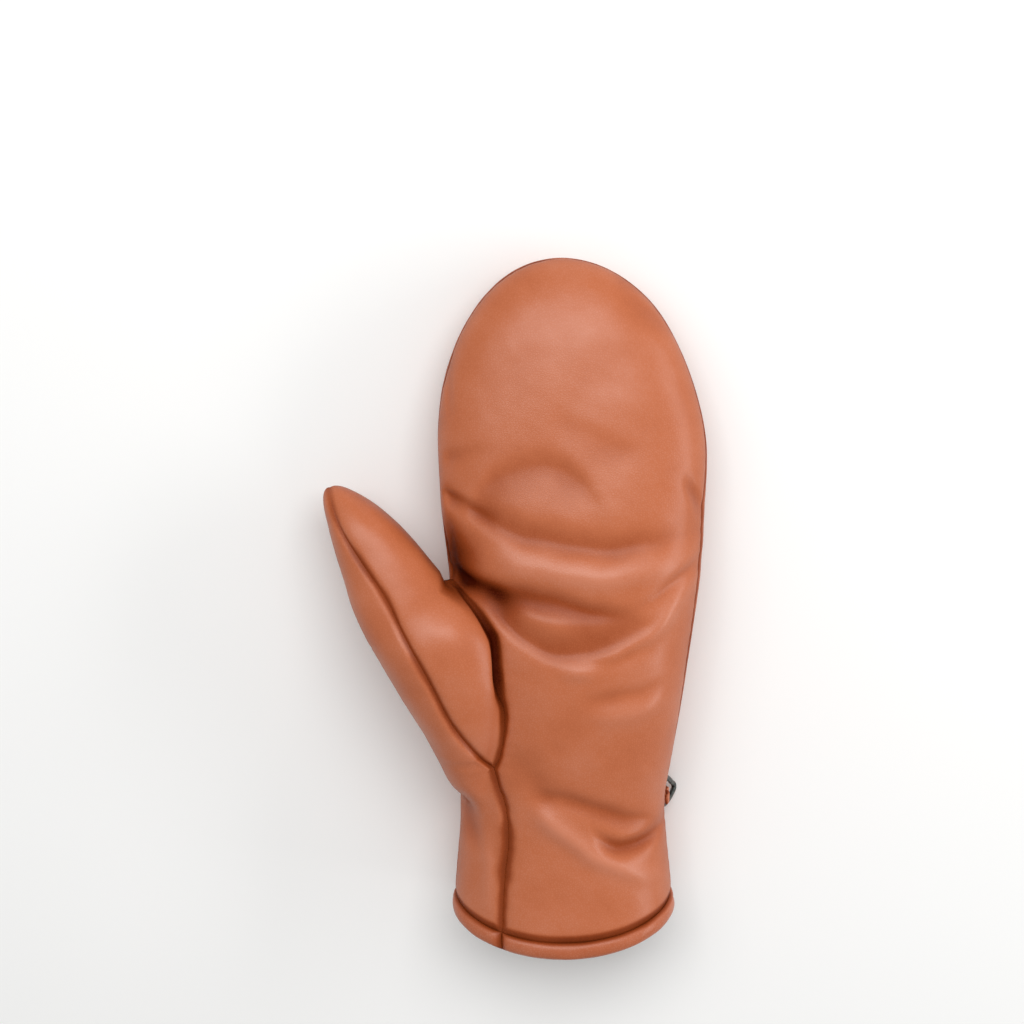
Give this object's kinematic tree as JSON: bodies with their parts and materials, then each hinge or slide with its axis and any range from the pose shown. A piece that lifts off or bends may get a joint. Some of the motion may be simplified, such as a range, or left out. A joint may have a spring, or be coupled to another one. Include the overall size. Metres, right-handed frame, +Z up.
{
  "type": "leather mitten",
  "caption": "Padded leather mitten for one hand: rounded hand pocket, separate thumb, turned hem round an open cuff, and a small metal clip ring at the wrist.",
  "frame": {"origin": "middle of the footprint, on the surface the mitten lies on", "axes": "+X across the palm away from the thumb, +Y from the cuff opening to the finger tip, +Z up out of the palm"},
  "size_m": [0.1474, 0.2684, 0.0588],
  "materials": {
    "palm_leather": "smooth semi-gloss cognac leather",
    "back_leather": "smooth semi-gloss cognac leather",
    "thumb_leather": "smooth semi-gloss cognac leather",
    "hem_leather": "smooth cognac leather, folded and stitched",
    "loop_leather": "thin cut leather strip",
    "ring_metal": "dark gunmetal plating, semi-gloss"
  },
  "bodies": {
    "root": {"palm_panel": "palm_leather", "back_panel": "back_leather", "thumb_panel": "thumb_leather", "palm_hem": "hem_leather", "back_hem": "hem_leather", "side_loop": "loop_leather", "clip_ring": "ring_metal"}
  },
  "joints": []
}
